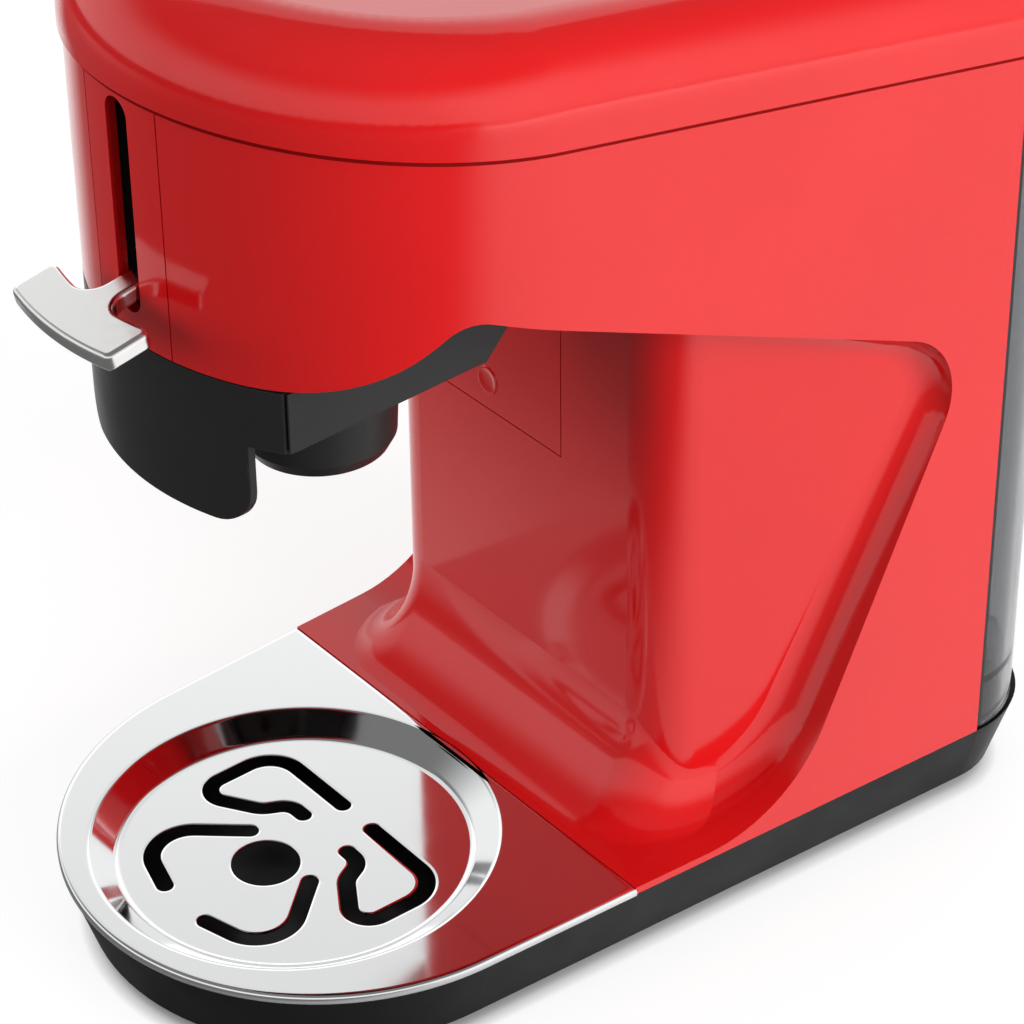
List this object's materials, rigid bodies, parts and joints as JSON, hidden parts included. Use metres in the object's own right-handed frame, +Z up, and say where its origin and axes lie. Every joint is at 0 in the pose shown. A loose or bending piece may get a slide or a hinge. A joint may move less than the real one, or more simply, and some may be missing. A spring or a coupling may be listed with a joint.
{
  "type": "capsule espresso machine",
  "caption": "Compact capsule espresso machine with a red body, front lever in a slot, pull-out capsule drawer, chrome drip plate and rear water tank.",
  "frame": {"origin": "floor, under the middle of the bounding box", "axes": "+Z up, front looks along -Y, +X to the machine's left as seen from the front's right"},
  "size_m": [0.1544, 0.248, 0.2643],
  "materials": {
    "red_shell": "gloss",
    "black_plastic": "satin",
    "chrome_plate": "mirror",
    "lever_metal": "polished",
    "smoke_clear": "clear",
    "rubber": "matte",
    "steel": "brushed",
    "cast_aluminium": "cast",
    "grey_nylon": "matte",
    "board": "satin",
    "clear_hose": "satin",
    "bronze": "satin"
  },
  "bodies": {
    "machine": {"base_pan": "black_plastic", "plinth": "black_plastic", "rubber_feet": "rubber", "base_screws": "steel", "body_shell": "red_shell", "slot_panel": "red_shell", "column_panel": "red_shell", "top_cover": "red_shell", "button_board": "board", "group_housing": "black_plastic", "brew_frame": "cast_aluminium", "pivot_pin": "steel", "block_spacers": "grey_nylon", "thermoblock": "cast_aluminium", "thermostats": "grey_nylon", "pump_bracket": "steel", "pump_pads": "rubber", "pump_coil": "grey_nylon", "pump_tube": "bronze", "flow_meter": "grey_nylon", "pressure_tube": "clear_hose", "tank_deck": "black_plastic", "tank_socket": "black_plastic", "socket_seal": "rubber", "suction_hose": "clear_hose", "board_standoffs": "grey_nylon", "control_board": "board", "cord_gland": "black_plastic", "switch_frame": "black_plastic"},
    "lever": {"lever_handle": "lever_metal", "lever_arm": "steel", "lever_bush": "bronze"},
    "piston": {"piston": "grey_nylon", "piston_seal": "rubber", "cross_pin": "steel", "pricking_plate": "steel"},
    "capsule_drawer": {"drawer_front": "black_plastic", "capsule_tray": "black_plastic", "spout": "black_plastic"},
    "drip_tray": {"drip_plate": "chrome_plate", "drip_tub": "black_plastic"},
    "tank": {"water_tank": "smoke_clear", "tank_valve": "grey_nylon"},
    "tank_lid": {"tank_lid": "red_shell"},
    "espresso_button": {"espresso_button": "black_plastic"},
    "lungo_button": {"lungo_button": "black_plastic"},
    "power_rocker": {"power_rocker": "black_plastic"}
  },
  "joints": [
    {"name": "lever_hinge", "type": "hinge", "parent": "machine", "child": "lever", "pos_m": [0, -0.004, 0.2133], "axis": [-1, 0, 0], "range_deg": [0, 22.6]},
    {"name": "piston_slide", "type": "slide", "parent": "machine", "child": "piston", "axis": [0, 0, 1], "range_m": [0, 0.0205]},
    {"name": "drawer_slide", "type": "slide", "parent": "machine", "child": "capsule_drawer", "axis": [0, -1, 0], "range_m": [0, 0.06]},
    {"name": "drip_tray_lift", "type": "slide", "parent": "machine", "child": "drip_tray", "axis": [0, 0, 1], "range_m": [0, 0.06]},
    {"name": "tank_lift", "type": "slide", "parent": "machine", "child": "tank", "axis": [0, 0, 1], "range_m": [0, 0.2]},
    {"name": "tank_lid_lift", "type": "slide", "parent": "tank", "child": "tank_lid", "axis": [0, 0, 1], "range_m": [0, 0.05]},
    {"name": "espresso_button_press", "type": "slide", "parent": "machine", "child": "espresso_button", "axis": [0, 0, -1], "range_m": [0, 0.0015], "stiffness_N_per_m": 400, "springref_m": -0.002},
    {"name": "lungo_button_press", "type": "slide", "parent": "machine", "child": "lungo_button", "axis": [0, 0, -1], "range_m": [0, 0.0015], "stiffness_N_per_m": 400, "springref_m": -0.002},
    {"name": "power_rocker_tilt", "type": "hinge", "parent": "machine", "child": "power_rocker", "pos_m": [0.034, 0.119, 0.0134], "axis": [0, 0, 1], "range_deg": [0, 10]}
  ],
  "couplings": [
    {"joint": "piston_slide", "follows": "lever_hinge", "m_per_rad": 0.05116}
  ]
}
